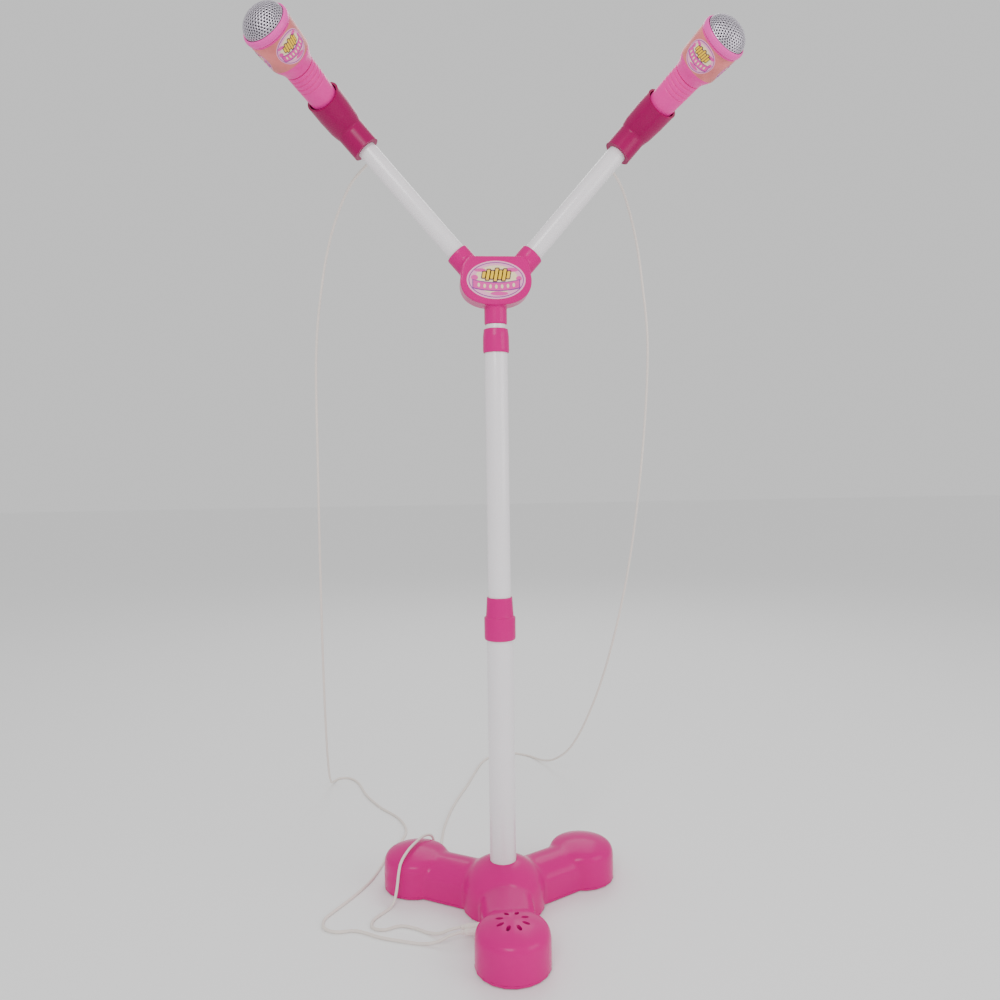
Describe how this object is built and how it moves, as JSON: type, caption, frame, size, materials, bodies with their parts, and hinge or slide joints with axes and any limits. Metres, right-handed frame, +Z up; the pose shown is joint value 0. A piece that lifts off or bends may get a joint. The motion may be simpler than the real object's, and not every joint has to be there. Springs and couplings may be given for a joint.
{
  "type": "toy karaoke stand with two microphones",
  "caption": "Toy karaoke stand: lobed base, telescopic mast, hub with raked arms, lift-out wired microphones.",
  "frame": {"origin": "on the floor under the mast's axis", "axes": "+Z up along the mast, -Y towards the front lobe and the side the microphones lean to, +X to the right seen from the front"},
  "size_m": [0.4878, 0.6391, 0.9418],
  "materials": {
    "magenta_plastic": "glossy",
    "white_plastic": "satin",
    "mic_pink": "satin",
    "silver_grille": "satin",
    "label": "printed sticker",
    "white_cord": "soft PVC",
    "black_plastic": "matt",
    "steel": "zinc plated",
    "rubber": "matt",
    "battery_wrap": "printed wrap",
    "board": "solder mask"
  },
  "bodies": {
    "root": {"base_shell": "magenta_plastic", "base_plate": "magenta_plastic", "battery_door": "magenta_plastic", "foot_1": "rubber", "foot_2": "rubber", "foot_3": "rubber", "base_screw_1": "steel", "base_screw_2": "steel", "base_screw_3": "steel", "mast_socket": "magenta_plastic", "battery_1": "battery_wrap", "battery_2": "battery_wrap", "battery_3": "battery_wrap", "speaker_basket": "steel", "speaker_cone": "black_plastic", "circuit_board": "board", "jack_left": "black_plastic", "jack_right": "black_plastic", "lower_tube": "white_plastic", "lower_bush": "black_plastic", "plug_left": "white_cord", "plug_right": "white_cord", "cord_left_floor": "white_cord", "cord_right_floor": "white_cord", "cord_left_lower": "white_cord", "cord_right_lower": "white_cord"},
    "switch": {"power_switch": "black_plastic"},
    "collar_low": {"lower_collar": "magenta_plastic"},
    "mast_middle": {"middle_tube": "white_plastic", "cord_left_upper": "white_cord", "cord_right_upper": "white_cord"},
    "collar_high": {"upper_collar": "magenta_plastic"},
    "mast_top": {"top_tube": "white_plastic", "hub_front": "magenta_plastic", "hub_rear": "magenta_plastic", "hub_label": "label", "hub_screw_left": "steel", "hub_screw_right": "steel", "arm_tube_left": "white_plastic", "arm_tube_right": "white_plastic", "holder_left": "magenta_plastic", "holder_right": "magenta_plastic", "cord_left_tail": "white_cord", "cord_right_tail": "white_cord"},
    "mic_left": {"mic_left_grille": "silver_grille", "mic_left_ring": "mic_pink", "mic_left_head": "mic_pink", "mic_left_handle": "mic_pink", "mic_left_capsule": "steel", "mic_left_relief": "mic_pink"},
    "mic_right": {"mic_right_grille": "silver_grille", "mic_right_ring": "mic_pink", "mic_right_head": "mic_pink", "mic_right_handle": "mic_pink", "mic_right_capsule": "steel", "mic_right_relief": "mic_pink"}
  },
  "joints": [
    {"name": "power_switch_slide", "type": "slide", "parent": "root", "child": "switch", "axis": [1, 0, 0], "range_m": [0, 0.006]},
    {"name": "lower_collar_twist", "type": "hinge", "parent": "root", "child": "collar_low", "pos_m": [0, 0, 0.33], "axis": [0, 0, 1], "range_deg": [0, 90]},
    {"name": "mast_lower_slide", "type": "slide", "parent": "root", "child": "mast_middle", "axis": [0, 0, 1], "range_m": [-0.2, 0.045], "deforming": ["cord_left_lower", "cord_right_lower"]},
    {"name": "upper_collar_twist", "type": "hinge", "parent": "mast_middle", "child": "collar_high", "pos_m": [0, 0, 0.637], "axis": [0, 0, 1], "range_deg": [0, 90]},
    {"name": "mast_upper_slide", "type": "slide", "parent": "mast_middle", "child": "mast_top", "axis": [0, 0, 1], "range_m": [-0.004, 0.2], "deforming": ["cord_left_upper", "cord_right_upper"]},
    {"name": "mic_left_pull_out", "type": "slide", "parent": "mast_top", "child": "mic_left", "axis": [-0.478, -0.7883, 0.3874], "range_m": [0, 0.06]},
    {"name": "mic_right_pull_out", "type": "slide", "parent": "mast_top", "child": "mic_right", "axis": [0.478, -0.7883, 0.3874], "range_m": [0, 0.06]}
  ]
}
